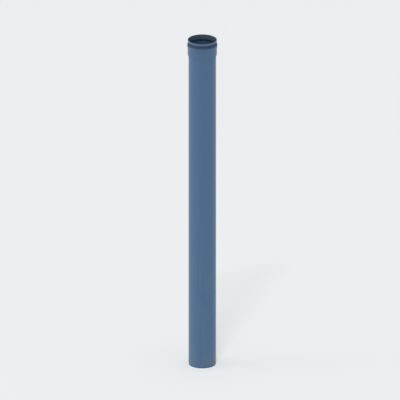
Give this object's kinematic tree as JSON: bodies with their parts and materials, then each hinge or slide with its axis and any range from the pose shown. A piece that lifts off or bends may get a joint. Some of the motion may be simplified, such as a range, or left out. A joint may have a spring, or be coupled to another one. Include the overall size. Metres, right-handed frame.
{
  "type": "socketed polypropylene sewer pipe",
  "caption": "Straight round sewer pipe with a formed push-fit socket and a rubber sealing ring at one end and a chamfered plain spigot at the other.",
  "frame": {"origin": "centre of the spigot's end face, on the floor the pipe stands on", "axes": "+Z along the pipe's axis, from the spigot up to the socket's mouth"},
  "size_m": [0.1364, 0.1366, 1.57],
  "materials": {
    "pipe_plastic": "satin",
    "seal_rubber": "matte"
  },
  "bodies": {
    "root": {"pipe": "pipe_plastic", "sealing_ring": "seal_rubber"}
  },
  "joints": []
}
